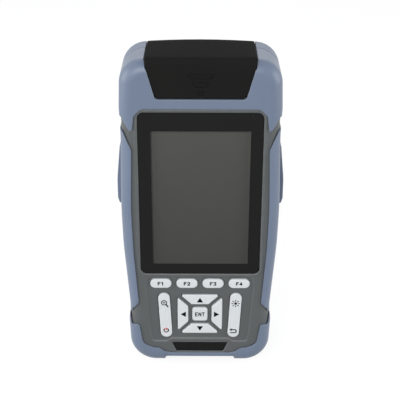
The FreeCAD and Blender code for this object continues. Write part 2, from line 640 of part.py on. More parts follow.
keycaps = []
for name, (outline, x, z, angle) in KEYS.items():
    key = slab(name, turned(outline, x, z, angle), "key_y", "flange_y + key_flange / 2")
    round_face(key, "key_y", "key_round")
    flange = turned(grown(outline, "key_flange"), x, z, angle)
    pad(key, "front", flange, "flange_y", "flange_back_y")
    keycaps.append(key)
for name, (x, lean) in ROCKERS.items():
    cap = slab(name + "_cap", turned(ROCKER, x, "rocker_z", lean), "key_y", "flange_y + 0.4")
    round_face(cap, "key_y", "key_round")
    trunnion = doc.addObject("Part::Cylinder", name + "_trunnion")
    trunnion.Placement = FreeCAD.Placement(V(0, 0, 0), FreeCAD.Rotation(V(0, 1, 0), 90))
    reach = "(rocker_width / 2 + trunnion_reach)"
    trunnion.setExpression("Radius", full("trunnion_radius"))
    trunnion.setExpression("Height", full(f"2 * {reach}"))
    trunnion.setExpression("Placement.Rotation.Angle", full(f"90 - ({lean})"))
    trunnion.setExpression("Placement.Base.x", full(f"{x} - {reach} * cos({lean})"))
    trunnion.setExpression("Placement.Base.y", full("trunnion_y"))
    trunnion.setExpression("Placement.Base.z", full(f"rocker_z - {reach} * sin({lean})"))
    keycaps.append(joined(name, cap, trunnion))

# ---------------------------------------------------------------- rear case, seal, battery and screws

rear_skin = rear_form("rear_skin", "0")
rear_hollow = rear_form("rear_hollow", "rear_wall")
cheek_plates = joined("cheek_plates", *[
    block("cheek", left, right, "rear_edge_y", "back_y", "deck_bottom", "case_height + 5")
    for left, right in (("bay_half", "cheek_half"), ("-cheek_half", "-bay_half"))])
cheeks = common("cheeks", rear_skin, cheek_plates)
posts, post_bores, case_screws = [], [], []
for side in ("", "-"):
    for level in ("boss_low", "boss_high"):
        x = f"{side}boss_x"
        posts.append(rod("rear_post", "boss_radius", "y", "rear_edge_y", "back_y - 1", x, level))
        post_bores.append(rod("post_bore", "case_screw_radius + fit_gap", "y", "rear_edge_y - 1",
                              "back_y + 1", x, level))
        post_bores.append(rod("head_bore", "screw_head + fit_gap", "y", "head_seat_y", "back_y + 1", x,
                              level))
        shank = rod("case_shank", "case_screw_radius", "y", "front_edge_y - case_screw_grip", "head_seat_y",
                    x, level)
        head = rod("case_head", "screw_head", "y", "head_seat_y", "head_seat_y + head_height", x, level)
        case_screws.append(joined("case_screw", shank, head))
case_screws = joined("case_screws", *case_screws)

door_seat = slab("door_seat", rectangle("-door_half - door_gap", "door_half + door_gap",
                                        "door_bottom - door_gap", "door_top + door_gap",
                                        "door_corner + door_gap"),
                 "back_y - door_thickness", "back_y + 5")
door_opening = slab("door_opening", rectangle("-opening_half", "opening_half", "opening_low",
                                              "opening_high", "2"), "rear_inner_y - 1", "back_y + 5")
DOOR_SCREWS = ("door_bottom + door_screw_inset", "door_top - door_screw_inset")
door_bosses = [rod("door_post", "door_boss", "y", "rear_inner_y - 4", "rear_inner_y + 0.5", "0", z)
               for z in DOOR_SCREWS]
door_taps = [rod("door_tap", "small_screw + pin_seat", "y", "rear_inner_y - 3.5", "back_y", "0", z)
             for z in DOOR_SCREWS]
door_plate = slab("door_plate", rectangle("-door_half", "door_half", "door_bottom", "door_top",
                                          "door_corner"), "back_y - door_thickness", "back_y")
door_holes = [rod("door_hole", radius, "y", low, "back_y + 1", "0", z) for z in DOOR_SCREWS
              for radius, low in (("small_screw + door_gap", "back_y - door_thickness - 1"),
                                  ("small_head + door_gap", "back_y - 1"))]
battery_door = cut("battery_door", door_plate, *door_holes)
door_screws = []
for z in DOOR_SCREWS:
    shank = rod("door_shank", "small_screw", "y", "rear_inner_y - 3", "back_y - 1", "0", z)
    head = rod("door_head", "small_head", "y", "back_y - 1", "back_y - 0.1", "0", z)
    door_screws.append(joined("door_screw", shank, head))
door_screws = joined("door_screws", *door_screws)

io_posts = [rod("io_pillar", "io_post", "y", "io_y", "rear_inner_y + 0.2",
                f"{side}(io_inner_x + io_post + 0.8)", level)
            for side in ("", "-") for level in ("cover_bottom + io_post + 0.4", "cover_top - io_post - 0.4")]
cover_recesses = [block("cover_recess", left, right, "cover_front - fit_gap", "cover_back + fit_gap",
                        "cover_bottom - fit_gap", "cover_top + lid_gap")
                  for left, right in (("recess_x", FAR), (f"-{FAR}", "-recess_x"))]


def socket_hole(name, side, long, thick, level, gap):
    inner, outer = "case_width / 2 - rear_wall - 1", "recess_x + 1"
    left, right = (inner, outer) if side == "" else (f"-({outer})", f"-({inner})")
    return block(name, left, right, f"io_y - {gap}", f"io_y + {thick} + {gap}",
                 f"{level} - {long} / 2 - {gap}", f"{level} + {long} / 2 + {gap}")


SOCKETS = {
    "charge_socket": ("-", "usb_long", "usb_thick", "usb_z", "usb_deep"),
    "data_socket": ("-", "data_long", "data_thick", "data_z", "data_deep"),
    "card_socket": ("", "card_long", "card_thick", "(cover_bottom + cover_top) / 2", "card_deep"),
}
socket_holes = [socket_hole(name + "_hole", side, long, thick, level, "door_gap")
                for name, (side, long, thick, level, depth) in SOCKETS.items()]
pin_holes = rod("pin_holes", "pin_radius + pin_seat", "x", "-cheek_half - 1", "cheek_half + 1",
                "hinge_y", "hinge_z")
rear_shell = cut("rear_shell", rear_skin, rear_hollow)
rear_base = base_wall("rear_base", "rear_edge_y", "rear_inner_y", "rear_wall")
rear_built = joined("rear_built", rear_shell, rear_base, cheeks, *posts, *door_bosses, *io_posts)
rear_case = cut("rear_case", rear_built, lid_space, foot_notch, door_seat, door_opening, pin_holes,
                *post_bores, *door_taps, *cover_recesses, *socket_holes)

seal_ring = slab("seal_ring", envelope("skin_step"), "front_edge_y", "rear_edge_y")
seal_window = slab("seal_window", envelope("rear_wall"), "front_edge_y - 1", "rear_edge_y + 1")
bay_slot = block("bay_slot", "-bay_half", "bay_half", "front_edge_y - 2", "rear_edge_y + 2", "deck_bottom",
                 "case_height + 10")
seal_base = base_wall("seal_base", "front_edge_y", "rear_edge_y", "rear_wall")
case_seal = cut("case_seal", joined("seal_solid", cut("seal_open", seal_ring, seal_window), seal_base),
                foot_notch, bay_slot)

tray_body = block("tray_body", "-tray_half", "tray_half", "tray_front_y", "rear_inner_y",
                  "opening_low - tray_shell", "opening_high + tray_shell")
tray_rim = block("tray_rim", "-opening_half - 1.6", "opening_half + 1.6", "rear_inner_y - tray_shell",
                 "rear_inner_y", "opening_low - tray_shell - 0.4", "opening_high + tray_shell + 0.4")
tray_pocket = block("tray_pocket", "-pocket_half", "pocket_half", "tray_front_y + tray_shell",
                    "rear_inner_y + 1", "opening_low", "opening_high")
battery_tray = cut("battery_tray", joined("tray_solid", tray_body, tray_rim), tray_pocket)
battery_cells = joined("battery_cells", *[
    rod("cell", "cell_radius", "z", "cell_bottom", "cell_bottom + cell_length", f"{side}cell_x", "cell_y")
    for side in ("", "-")])

# ---------------------------------------------------------------- lid and its hinge

lid_profile = slab("lid_profile", [
    ("lid_face_y", "lid_bottom", "0.6"),
    ("lid_face_y + lid_tongue", "lid_bottom", "0"),
    ("lid_face_y + lid_tongue", "lid_inner_z", "1.5"),
    ("lid_wrap_y", "lid_inner_z", "lid_roll - lid_plate"),
    ("lid_wrap_y", "hinge_z - 0.5", "0"),
    ("back_y", "hinge_z - 0.5", "0"),
    ("back_y", "case_height", "lid_roll"),
    ("lid_face_y", "case_height", "1.6"),
], "-lid_width / 2", "lid_width / 2", "side")
lid_front = slab("lid_front", lid_outline, f"-{FAR}", FAR)
lid_crown = slab("lid_crown", envelope("0"), "face_y", "back_y")
lid_sheet = common("lid_sheet", common("lid_trimmed", lid_profile, lid_front), lid_crown)
knuckles = [rod("knuckle", "knuckle_radius", "x", low, high, "hinge_y", "hinge_z")
            for low, high in (("lid_width / 2 - knuckle_width", "lid_width / 2"),
                              ("-lid_width / 2", "-lid_width / 2 + knuckle_width"))]
lid_bore = rod("lid_bore", "pin_radius + pin_running", "x", "-lid_width", "lid_width", "hinge_y", "hinge_z")
lid_bars = [slab("lid_bar", mirrored([(f"{low}", bottom, "0.2"), (f"{high}", top, "0.2")]),
                 "face_y", "lid_face_y + 0.5")
            for low, high, bottom, top in (("4.9", "6.3", "lid_bottom + 9.8", "lid_bottom + 12.3"),
                                           ("2.6", "4", "lid_bottom + 5.7", "lid_bottom + 8.3"),
                                           ("0.4", "1.8", "lid_bottom + 1.6", "lid_bottom + 4"))]
flip_lid = cut("flip_lid", joined("lid_solid", lid_sheet, *knuckles, *lid_bars), lid_bore)
lid_hinge_pin = rod("lid_hinge_pin", "pin_radius", "x", "-cheek_half + door_gap", "cheek_half - door_gap",
                    "hinge_y", "hinge_z")

# ---------------------------------------------------------------- port bay, ports and optics

deck_floor = block("deck_floor", "-bay_half", "bay_half", "inner_y", "rear_inner_y", "deck_bottom",
                   "deck_top")
deck_sides = [block("deck_side", left, right, "inner_y", "hinge_y - lid_roll - lid_gap", "deck_bottom",
                    "lid_inner_z - lid_gap")
              for left, right in (("bay_half - tray_wall", "bay_half"),
                                  ("-bay_half", "-bay_half + tray_wall"))]
deck_web = block("deck_web", "-barrel_half", "barrel_half", "web_back_y - deck_web", "web_back_y",
                 "deck_bottom", "hinge_z - 1.6")
deck_barrel = rod("deck_barrel", "barrel_radius", "x", "-barrel_half", "barrel_half", "hinge_y", "hinge_z")
deck_bore = rod("deck_bore", "pin_radius + pin_seat", "x", "-lid_width", "lid_width", "hinge_y", "hinge_z")

PORTS = {
    "otdr": ("-port_pitch", "otdr_radius"),
    "opm": ("0", "opm_radius"),
    "vfl": ("port_pitch", "vfl_radius"),
}
deck_holes = [rod(f"{name}_hole", f"{radius} - 1 + fit_gap / 3", "z", "deck_bottom - 1", "deck_top + 1", x,
                  "port_y") for name, (x, radius) in PORTS.items()]
port_deck = cut("port_deck", joined("deck_solid", deck_floor, *deck_sides, deck_web, deck_barrel),
                deck_bore, *deck_holes)

ports = []
for name, (x, radius) in PORTS.items():
    foot = "module_top" if name == "otdr" else "port_foot"
    ports.append(revolve(f"{name}_port", [
        ("0", foot, "0"),
        (f"{radius} - 1", foot, "0"),
        (f"{radius} - 1", "deck_top", "0"),
        (f"{radius} + port_collar", "deck_top", "0"),
        (f"{radius} + port_collar", "deck_top + port_flange", "0.3"),
        (radius, "deck_top + port_flange", "0"),
        (radius, "port_top", "0.3"),
        (f"{radius} - port_rim", "port_top", "0.3"),
        (f"{radius} - port_rim", "port_floor", "0"),
        ("port_seat + 0.4", "port_floor", "0"),
        ("port_seat + 0.4", "sleeve_top + fit_gap / 2", "0"),
        ("port_seat", "sleeve_top + fit_gap / 2", "0"),
        ("port_seat", "sleeve_bottom", "0"),
        ("0", "sleeve_bottom", "0"),
    ], x, "port_y"))
    ports.append(revolve(f"{name}_sleeve", [
        ("ferrule_bore", "sleeve_bottom", "0"),
        ("ferrule_bore + sleeve_wall", "sleeve_bottom", "0"),
        ("ferrule_bore + sleeve_wall", "sleeve_top", "0"),
        ("ferrule_bore", "sleeve_top", "0"),
    ], x, "port_y"))
optical_module = block("optical_module", "-port_pitch - otdr_radius - 1.4", "opm_radius + 0.6",
                       "board_back_y", "board_back_y + module_depth", "module_bottom", "module_top")
power_detector = rod("power_detector", "min(detector_radius; port_y - board_back_y)", "z", "module_top",
                     "port_foot", "0", "port_y")
vfl_laser = rod("vfl_laser", "vfl_radius", "z", "port_foot - laser_length", "port_foot", "port_pitch",
                "port_y")

# ---------------------------------------------------------------- side sockets and their covers

sockets = []
for name, (side, long, thick, level, depth) in SOCKETS.items():
    left, right = (f"mouth_x - {depth}", "mouth_x") if side == "" else ("-mouth_x", f"-mouth_x + {depth}")
    shell = block(name + "_shell", left, right, "io_y", f"io_y + {thick}", f"{level} - {long} / 2",
                  f"{level} + {long} / 2")
    left, right = (f"mouth_x - {depth} + 1.2", "mouth_x + 1") if side == "" else (
        "-mouth_x - 1", f"-mouth_x + {depth} - 1.2")
    throat = block(name + "_throat", left, right, "io_y + socket_wall", f"io_y + {thick} - socket_wall",
                   f"{level} - {long} / 2 + socket_wall", f"{level} + {long} / 2 - socket_wall")
    sockets.append(cut(name, shell, throat))
left_io_board = block("left_io_board", "-io_outer_x", "-io_inner_x", "io_y - board_thickness",
                      "io_y", "cover_bottom", "cover_top")
right_io_board = block("right_io_board", "io_inner_x", "io_outer_x", "io_y - board_thickness",
                       "io_y", "cover_bottom", "cover_top")

cover_outline = [
    ("cover_inner_x", "cover_bottom", "0.5"),
    ("cover_outer_x - 0.9", "cover_bottom", "1"),
    ("cover_outer_x", "cover_bottom + 3", "3"),
    ("cover_outer_x", "cover_bottom + cover_full", "60"),
    ("cover_outer_x - cover_taper", "cover_top", "0.3"),
    ("cover_inner_x", "cover_top", "cover_round"),
]
right_port_cover = slab("right_port_cover", cover_outline, "cover_front", "cover_back")
left_port_cover = slab("left_port_cover", [(f"-({x})", z, r) for x, z, r in reversed(cover_outline)],
                       "cover_front", "cover_back")

# ---------------------------------------------------------------- check and write every sub-part

NODES = [
    front_case, front_hood, left_grip, right_grip, bottom_boot, nameplate, rear_case, case_seal,
    case_screws, battery_door, door_screws, battery_tray, battery_cells, display_lens, lens_gasket,
    light_sensor, lcd_panel, lcd_bracket, main_board, board_screws, shield_can, buzzer, keypad_board,
    keypad_mat, flip_lid, lid_hinge_pin, port_deck, optical_module, power_detector, vfl_laser,
    left_io_board, right_io_board, left_port_cover, right_port_cover,
] + keycaps + ports + sockets

doc.recompute()
for item in doc.Objects:
    if "Invalid" in item.State or "Error" in item.State:
        raise RuntimeError(f"{item.Label} did not build: {item.State}")
os.makedirs("parts", exist_ok=True)
for node in NODES:
    if node.Shape.isNull() or not node.Shape.isValid() or not node.Shape.Solids:
        raise RuntimeError(f"{node.Label} has no sound solid")
    node.Shape.exportStep(f"parts/{node.Label}.step")
print(len(NODES), "nodes written")
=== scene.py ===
import math

import bmesh
import bpy
from mathutils import Matrix, Quaternion, Vector


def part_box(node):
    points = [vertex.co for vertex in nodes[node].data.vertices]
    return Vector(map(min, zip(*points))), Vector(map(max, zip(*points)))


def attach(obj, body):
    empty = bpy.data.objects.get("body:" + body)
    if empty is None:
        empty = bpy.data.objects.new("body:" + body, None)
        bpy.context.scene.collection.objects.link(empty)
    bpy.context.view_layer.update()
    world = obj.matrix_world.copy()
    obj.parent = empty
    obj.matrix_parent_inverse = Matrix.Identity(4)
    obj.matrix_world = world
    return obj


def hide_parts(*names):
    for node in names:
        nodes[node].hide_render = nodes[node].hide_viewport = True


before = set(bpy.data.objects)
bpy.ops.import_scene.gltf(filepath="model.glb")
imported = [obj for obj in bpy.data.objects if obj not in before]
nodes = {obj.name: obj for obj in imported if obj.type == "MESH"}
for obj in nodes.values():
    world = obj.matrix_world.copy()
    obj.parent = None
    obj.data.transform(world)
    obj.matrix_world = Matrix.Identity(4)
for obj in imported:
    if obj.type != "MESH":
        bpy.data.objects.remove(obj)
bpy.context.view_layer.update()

scene = bpy.context.scene
scene.view_settings.view_transform = "Standard"
mm = 0.001

# ------------------------------------------------------------------ the studio
# The instrument stands upright on a pale floor before a white backdrop.
# The camera looks down on its screen side; large soft lamps light it evenly.
camera = bpy.data.objects.new("camera", bpy.data.cameras.new("camera"))
scene.collection.objects.link(camera)
scene.camera = camera
camera.data.lens = 88.4
camera.data.sensor_width = 36
camera.data.shift_x = -0.0008
camera.location = (0, -0.46, 0.312)
aim = Vector((0, -0.018, 0.0978))
camera_tilt = Quaternion((0, 0, 1), math.radians(0.2))
camera.rotation_euler = ((aim - camera.location).to_track_quat("-Z", "Y") @ camera_tilt).to_euler()


def add_node(tree, kind, inputs=None, **settings):
    """Add a node; its inputs take plain values or the outputs of earlier nodes, by name or place."""
    made = tree.nodes.new(kind)
    for name, value in settings.items():
        setattr(made, name, value)
    for name, value in (inputs or {}).items():
        if isinstance(value, bpy.types.NodeSocket):
            tree.links.new(value, made.inputs[name])
        else:
            made.inputs[name].default_value = value
    return made


def step(tree, kind, inputs=None, **settings):
    """Add a shader node of a kind such as Math or Mix."""
    return add_node(tree, "ShaderNode" + kind, inputs, **settings)


def seen_or_mirrored(tree):
    """1 where a ray comes from the camera, from a reflection or through glass, and 0 elsewhere."""
    path = step(tree, "LightPath").outputs
    either = step(tree, "Math", {0: path["Is Camera Ray"], 1: path["Is Glossy Ray"]}, operation="MAXIMUM")
    return step(tree, "Math", {0: either.outputs[0], 1: path["Is Transmission Ray"]},
                operation="MAXIMUM").outputs[0]


# The backdrop is white to look at, but it lights the instrument only faintly.
backdrop_white = 1.0
backdrop_light = 0.38
world = bpy.data.worlds.new("white backdrop")
scene.world = world
world.use_nodes = True
backdrop = world.node_tree
backdrop.nodes.clear()
ambient = step(backdrop, "Background", {"Color": (0.96, 0.98, 1, 1), "Strength": backdrop_light})
white = step(backdrop, "Background", {"Color": (1, 1, 1, 1), "Strength": backdrop_white})
shown = step(backdrop, "MixShader", {0: seen_or_mirrored(backdrop), 1: ambient.outputs[0],
                                     2: white.outputs[0]})
step(backdrop, "OutputWorld", {"Surface": shown.outputs[0]})

# The floor is matt, with a glow of its own that makes it as white as the backdrop; the matt share keeps
# the instrument's shadow.
floor_half = 3.0
floor_white = 1.08
floor_light = 0.18
floor_glow_share = 0.8
floor = bpy.data.objects.new("floor", bpy.data.meshes.new("floor"))
floor.data.from_pydata([(-floor_half, -floor_half, 0), (floor_half, -floor_half, 0),
                        (floor_half, floor_half, 0), (-floor_half, floor_half, 0)], [], [(0, 1, 2, 3)])
scene.collection.objects.link(floor)
floor_paint = bpy.data.materials.new("pale floor")
floor_paint.use_nodes = True
tree = floor_paint.node_tree
tree.nodes.clear()
matt = step(tree, "BsdfDiffuse", {"Color": (0.9, 0.9, 0.9, 1)})
shine = step(tree, "MapRange", {"Value": seen_or_mirrored(tree), "To Min": floor_light,
                                "To Max": floor_white})
glow = step(tree, "Emission", {"Color": (1, 1, 1, 1), "Strength": shine.outputs[0]})
part_glow = step(tree, "MixShader", {0: floor_glow_share, 1: matt.outputs[0], 2: glow.outputs[0]})
step(tree, "OutputMaterial", {"Surface": part_glow.outputs[0]})
floor.data.materials.append(floor_paint)

lamp_target = Vector((0, 0, 0.08))


def soft_lamp(name, place, size, power):
    """A rectangular lamp that faces the middle of the instrument."""
    lamp = bpy.data.objects.new(name, bpy.data.lights.new(name, "AREA"))
    lamp.data.shape = "RECTANGLE"
    lamp.data.size, lamp.data.size_y = size
    lamp.data.energy = power
    lamp.location = place
    lamp.rotation_euler = (lamp_target - lamp.location).to_track_quat("-Z", "Y").to_euler()
    scene.collection.objects.link(lamp)


soft_lamp("key lamp", (-0.25, -0.95, 0.6), (0.7, 0.5), 7.2)
soft_lamp("left lamp", (-0.93, -0.16, 0.17), (0.8, 0.8), 7.2)
soft_lamp("right lamp", (0.93, -0.16, 0.17), (0.8, 0.8), 6.8)
soft_lamp("back lamp", (0, 0.9, 0.8), (0.9, 0.4), 2.0)

# ------------------------------------------------------------------ grey front case
# The front half of the shell, injection moulded in dark grey plastic with a fine spark-eroded grain.
# Its colour is a little uneven in the moulding, and its edges are rubbed lighter by hands and the pouch.


def group_of(name, inputs, outputs):
    """Start a shader node group, with a value for each input and a socket kind for each output."""
    tree = bpy.data.node_groups.new(name, "ShaderNodeTree")
    for socket, value in inputs.items():
        made = tree.interface.new_socket(socket, in_out="INPUT", socket_type="NodeSocketFloat")
        made.default_value = value
    for socket, kind in outputs.items():
        tree.interface.new_socket(socket, in_out="OUTPUT", socket_type=kind)
    return tree, tree.nodes.new("NodeGroupInput").outputs, tree.nodes.new("NodeGroupOutput").inputs


def reckoned(tree, operation, first, second, clamp=False):
    """One math operation on two values or sockets."""
    return step(tree, "Math", {0: first, 1: second}, operation=operation, use_clamp=clamp).outputs[0]


# Fine grain of a spark-eroded mould, with the slow unevenness of the moulding over it.
grain_group, given, result = group_of(
    "moulded grain", {"Grain size": 0.0003, "Patch size": 0.02},
    {"Height": "NodeSocketFloat", "Patches": "NodeSocketFloat"})
place = step(grain_group, "TexCoord").outputs["Object"]
fine = step(grain_group, "TexNoise", {"Vector": place, "Detail": 2.0, "Roughness": 0.6,
                                      "Scale": reckoned(grain_group, "DIVIDE", 1.0, given["Grain size"])})
slow = step(grain_group, "TexNoise", {"Vector": place, "Detail": 3.0, "Roughness": 0.5,
                                      "Scale": reckoned(grain_group, "DIVIDE", 1.0, given["Patch size"])})
grain_group.links.new(fine.outputs["Fac"], result["Height"])
grain_group.links.new(slow.outputs["Fac"], result["Patches"])

# Where a surface turns sharply within the given reach, hands and pouches rub it. The same reach gives
# the small radius that every moulded edge has.
rub_group, given, result = group_of(
    "rubbed edges", {"Reach": 0.0006, "Strength": 4.0},
    {"Mask": "NodeSocketFloat", "Normal": "NodeSocketVector"})
rounded = step(rub_group, "Bevel", {"Radius": given["Reach"]}, samples=6)
straight = step(rub_group, "NewGeometry")
agree = step(rub_group, "VectorMath", {0: rounded.outputs[0], 1: straight.outputs["Normal"]},
             operation="DOT_PRODUCT")
turn = reckoned(rub_group, "SUBTRACT", 1.0, agree.outputs["Value"], clamp=True)
patchy = step(rub_group, "TexNoise", {"Vector": step(rub_group, "TexCoord").outputs["Object"],
                                      "Scale": 260.0, "Detail": 3.0})
worn = reckoned(rub_group, "MULTIPLY", turn, given["Strength"])
worn = reckoned(rub_group, "MULTIPLY", worn, patchy.outputs["Fac"], clamp=True)
rub_group.links.new(worn, result["Mask"])
rub_group.links.new(rounded.outputs[0], result["Normal"])

# Sparse specks of dust and lint that settle on the mouldings, one at most in each cell of a loose grid.
bare_share = 0.6
dust_group, given, result = group_of(
    "dust specks", {"Spacing": 0.004, "Speck size": 0.03}, {"Mask": "NodeSocketFloat"})
cells = step(dust_group, "TexVoronoi", {"Vector": step(dust_group, "TexCoord").outputs["Object"],
                                        "Scale": reckoned(dust_group, "DIVIDE", 1.0, given["Spacing"])})
speck = reckoned(dust_group, "LESS_THAN", cells.outputs["Distance"], given["Speck size"])
draw = step(dust_group, "SeparateColor", {"Color": cells.outputs["Color"]}).outputs[0]
dusty = reckoned(dust_group, "GREATER_THAN", draw, bare_share)
dust_group.links.new(reckoned(dust_group, "MULTIPLY", speck, dusty), result["Mask"])


def placed(tree, group, **values):
    """Put a node group into a material with this material's own values."""
    made = tree.nodes.new("ShaderNodeGroup")
    made.node_tree = group
    for name, value in values.items():
        made.inputs[name.replace("_", " ").capitalize()].default_value = value
    return made.outputs


def blended(tree, share, first, second):
    """Mix two colours by a mask."""
    made = step(tree, "Mix", {0: share, 6: first, 7: second}, data_type="RGBA")
    return made.outputs[2]


def tone(red, green, blue):
    """A colour given as 0-255 screen values, in the linear values that shaders take."""
    shares = (value / 255 for value in (red, green, blue))
    return tuple(share / 12.92 if share <= 0.04045 else ((share + 0.055) / 1.055) ** 2.4
                 for share in shares) + (1,)


dust_colour = tone(128, 128, 124)
dust_spacing = 0.0045
rough_swing = 0.05
grain_strength = 0.5
sheen_rough = 0.3


def surface(name, plain, patch, rubbed, rough, grain=0.0002, depth=0.00001, gloss=0.4, reach=0.0005,
            wear=4.0, dust=0.0, metal=0.0, sheen=0.0):
    """A finish: its plain and patchy colours, the colour of its rubbed edges and its roughness.

    grain and depth are the size and height of its fine grain, reach is the radius of its edges, wear is
    how much they are rubbed, and dust is the size of the specks on it, in shares of their spacing.
    """
    paint = bpy.data.materials.new(name)
    paint.use_nodes = True
    tree = paint.node_tree
    shader = tree.nodes["Principled BSDF"]
    mould = placed(tree, grain_group, grain_size=grain)
    edges = placed(tree, rub_group, reach=reach, strength=wear)
    colour = blended(tree, mould["Patches"], plain, patch)
    colour = blended(tree, edges["Mask"], colour, rubbed)
    if dust:
        specks = placed(tree, dust_group, spacing=dust_spacing, speck_size=dust)
        colour = blended(tree, specks["Mask"], colour, dust_colour)
    tree.links.new(colour, shader.inputs["Base Color"])
    spread = step(tree, "MapRange", {"Value": mould["Patches"], "To Min": rough - rough_swing,
                                     "To Max": rough + rough_swing})
    tree.links.new(spread.outputs[0], shader.inputs["Roughness"])
    bump = step(tree, "Bump", {"Height": mould["Height"], "Strength": grain_strength, "Distance": depth,
                               "Normal": edges["Normal"]})
    tree.links.new(bump.outputs[0], shader.inputs["Normal"])
    shader.inputs["Specular IOR Level"].default_value = gloss
    shader.inputs["Metallic"].default_value = metal
    shader.inputs["Sheen Weight"].default_value = sheen
    shader.inputs["Sheen Roughness"].default_value = sheen_rough
    return paint


def dress(paint, *names):
    """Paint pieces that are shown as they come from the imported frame."""
    for name in names:
        held = nodes[name].data.materials
        held.clear()
        held.append(paint)


grey_paint = surface("grey moulding", tone(85, 88, 89), tone(81, 85, 86), tone(132, 135, 135),
                     rough=0.42, grain=0.00022, depth=0.00003, gloss=0.45, reach=0.0014, sheen=0.1)
dress(grey_paint, "front_case", "battery_door")

# ------------------------------------------------------------------ blue hood, grips, boot and side covers
# Satin slate-blue rubber, moulded over the grey shell and over the rear half's corners. The side
# covers are the same rubber. Hands polish its edges a little lighter.
skin_paint = surface("blue rubber skin", tone(103, 116, 138), tone(108, 121, 142), tone(142, 152, 168),
                     rough=0.4, grain=0.00016, reach=0.0009, wear=2.5, gloss=0.5, dust=0.012,
                     sheen=0.12)
dress(skin_paint, "front_hood", "left_grip", "right_grip", "bottom_boot", "left_port_cover",
      "right_port_cover")

# ------------------------------------------------------------------ rear case
# The rear half of the shell, injection moulded in plastic of the same slate blue, with a slightly
# coarser grain. Screws from behind hold it to the front half.
rear_paint = surface("blue moulding", tone(102, 115, 137), tone(107, 120, 141), tone(140, 150, 166),
                     rough=0.45, grain=0.00024, depth=0.00002, reach=0.0006, wear=3.0, gloss=0.45,
                     sheen=0.12)
dress(rear_paint, "rear_case")

# ------------------------------------------------------------------ case seal
# A dark rubber ring pressed between the two halves, which shows as a thin line. The window's frame and
# the key mat are cut and moulded from the same rubber.
seal_paint = surface("seal rubber", tone(62, 68, 80), tone(68, 74, 86), tone(80, 84, 92), rough=0.7,
                     depth=0.00002, gloss=0.2)
dress(seal_paint, "case_seal", "lens_gasket", "keypad_mat")

# ------------------------------------------------------------------ window, printed border and display
# A clear window glued into the rim. Its black border is a thin glossy print, with a clear opening over
# the display and a small one over the light sensor. The display behind it is unlit.


def flat_sheet(name, outlines, front, thickness, paint, body):
    """A thin sheet facing the user, from closed outlines of (x, z) points; inner outlines are holes."""
    shape = bpy.data.curves.new(name, "CURVE")
    shape.dimensions = "2D"
    shape.fill_mode = "BOTH"
    shape.extrude = thickness / 2
    for outline in outlines:
        line = shape.splines.new("POLY")
        line.points.add(len(outline) - 1)
        for point, (x, z) in zip(line.points, outline):
            point.co = (x, z, 0, 1)
        line.use_cyclic_u = True
    maker = bpy.data.objects.new(name, shape)
    scene.collection.objects.link(maker)
    mesh = settled(maker)
    mesh.transform(Matrix.Translation((0, front + thickness / 2, 0)) @ Matrix.Rotation(math.pi / 2, 4, "X"))
    return piece(name, mesh, paint, body)


def settled(maker):
    """The finished mesh of a curve or of an object with a node tree, which is then removed."""
    bpy.context.view_layer.update()
    mesh = bpy.data.meshes.new_from_object(maker.evaluated_get(bpy.context.evaluated_depsgraph_get()))
    bpy.data.objects.remove(maker)
    return mesh


def piece(name, mesh, paint, body):
    """Put a finished mesh into the scene, painted and riding on its body."""
    mesh.name = name
    mesh.materials.clear()
    mesh.materials.append(paint)
    made = bpy.data.objects.new(name, mesh)
    scene.collection.objects.link(made)
    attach(made, body)
    return made


def circle(x, z, radius, count=24):
    """A round outline."""
    turns = (2 * math.pi * index / count for index in range(count))
    return [(x + radius * math.cos(turn), z + radius * math.sin(turn)) for turn in turns]


def rounded_box(left, right, low, high, radius, count=6):
    """An outline of a rectangle with round corners."""
    corners = ((right - radius, high - radius), (left + radius, high - radius),
               (left + radius, low + radius), (right - radius, low + radius))
    points = []
    for quarter, (x, z) in enumerate(corners):
        for index in range(count + 1):
            turn = math.pi / 2 * (quarter + index / count)
            points.append((x + radius * math.cos(turn), z + radius * math.sin(turn)))
    return points


# A coated window mirrors little of the room, so its index is set near that of air.
window_index = 1.06
glass_paint = bpy.data.materials.new("window glass")
glass_paint.use_nodes = True
tree = glass_paint.node_tree
shader = tree.nodes["Principled BSDF"]
shader.inputs["Base Color"].default_value = (1, 1, 1, 1)
shader.inputs["Transmission Weight"].default_value = 1.0
shader.inputs["IOR"].default_value = window_index
smears = placed(tree, grain_group, grain_size=0.004, patch_size=0.03)
haze = step(tree, "MapRange", {"Value": smears["Patches"], "To Min": 0.01, "To Max": 0.05})
tree.links.new(haze.outputs[0], shader.inputs["Roughness"])
clear = step(tree, "BsdfTransparent")
let_light_in = step(tree, "MixShader", {0: step(tree, "LightPath").outputs["Is Shadow Ray"],
                                        1: shader.outputs[0], 2: clear.outputs[0]})
tree.links.new(let_light_in.outputs[0], tree.nodes["Material Output"].inputs["Surface"])
dress(glass_paint, "display_lens")

lens_low, lens_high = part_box("display_lens")
panel_low, panel_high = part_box("lcd_panel")
sensor_low, sensor_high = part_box("light_sensor")
view_half_width = 24.48 * mm
view_half_height = 36.72 * mm
view_drop = 0.3 * mm
view_middle = (panel_low.z + panel_high.z) / 2 - view_drop
sensor_opening = 0.45 * mm
ink = 0.02 * mm
border_paint = surface("border ink", tone(29, 29, 29), tone(32, 32, 32), tone(44, 44, 44), rough=0.25,
                       grain=0.0004, depth=0.0000002, gloss=0.06, reach=0.00002, wear=0.0)
border_edge = 0.15 * mm
border_corner = 2.9 * mm
view = [(x, view_middle + z) for x, z in (
    (-view_half_width, -view_half_height), (view_half_width, -view_half_height),
    (view_half_width, view_half_height), (-view_half_width, view_half_height))]
flat_sheet("window_print", [
    rounded_box(lens_low.x + border_edge, lens_high.x - border_edge, lens_low.z + border_edge,
                lens_high.z - border_edge, border_corner),
    view,
    circle((sensor_low.x + sensor_high.x) / 2, (sensor_low.z + sensor_high.z) / 2, sensor_opening),
], lens_low.y - ink, ink, border_paint, "instrument")

